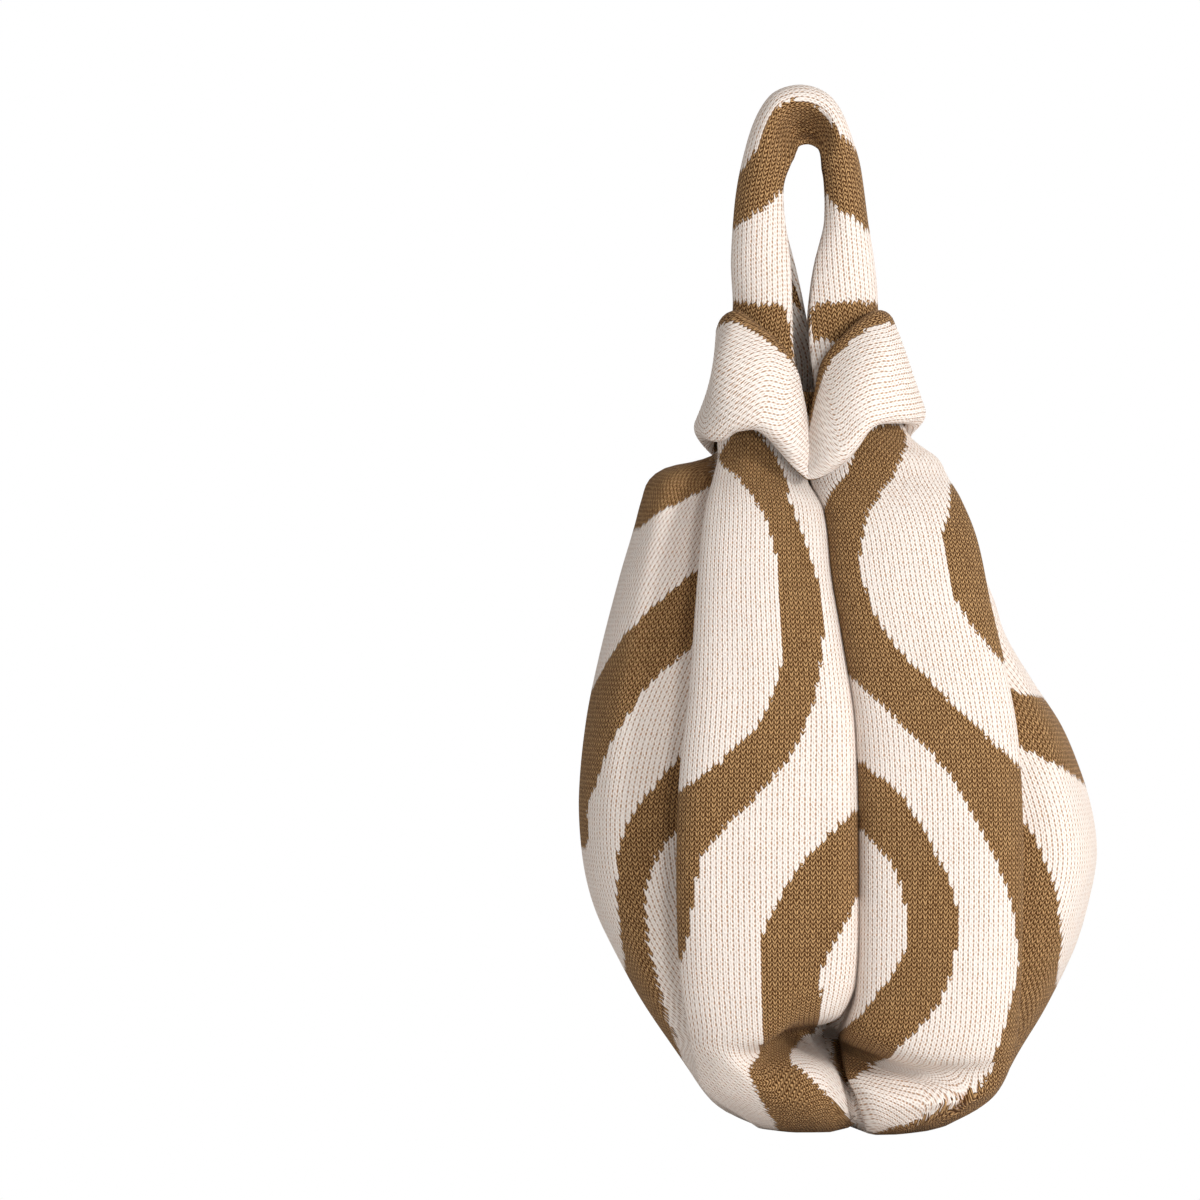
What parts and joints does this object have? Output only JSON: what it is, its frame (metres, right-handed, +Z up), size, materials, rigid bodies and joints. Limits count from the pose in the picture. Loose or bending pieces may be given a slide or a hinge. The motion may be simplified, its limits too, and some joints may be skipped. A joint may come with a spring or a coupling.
{
  "type": "knit handbag",
  "caption": "Soft knitted bag with a long loop handle passed through a short one that gathers its mouth, standing on its base.",
  "frame": {"origin": "under the middle of the bag, on the surface that it stands on", "axes": "+Z up, +X to the right as seen from the front, -Y towards the front, where the two folded panels and the collar are"},
  "size_m": [0.231, 0.147, 0.4624],
  "materials": {
    "body_knit": "matte knitted yarn, cream with wavy brown stripes",
    "long_handle_knit": "matte knitted yarn, cream with brown bands",
    "short_handle_knit": "matte knitted yarn, cream with a brown rim"
  },
  "bodies": {
    "root": {"body": "body_knit", "long_handle": "long_handle_knit", "short_handle": "short_handle_knit"}
  },
  "joints": []
}
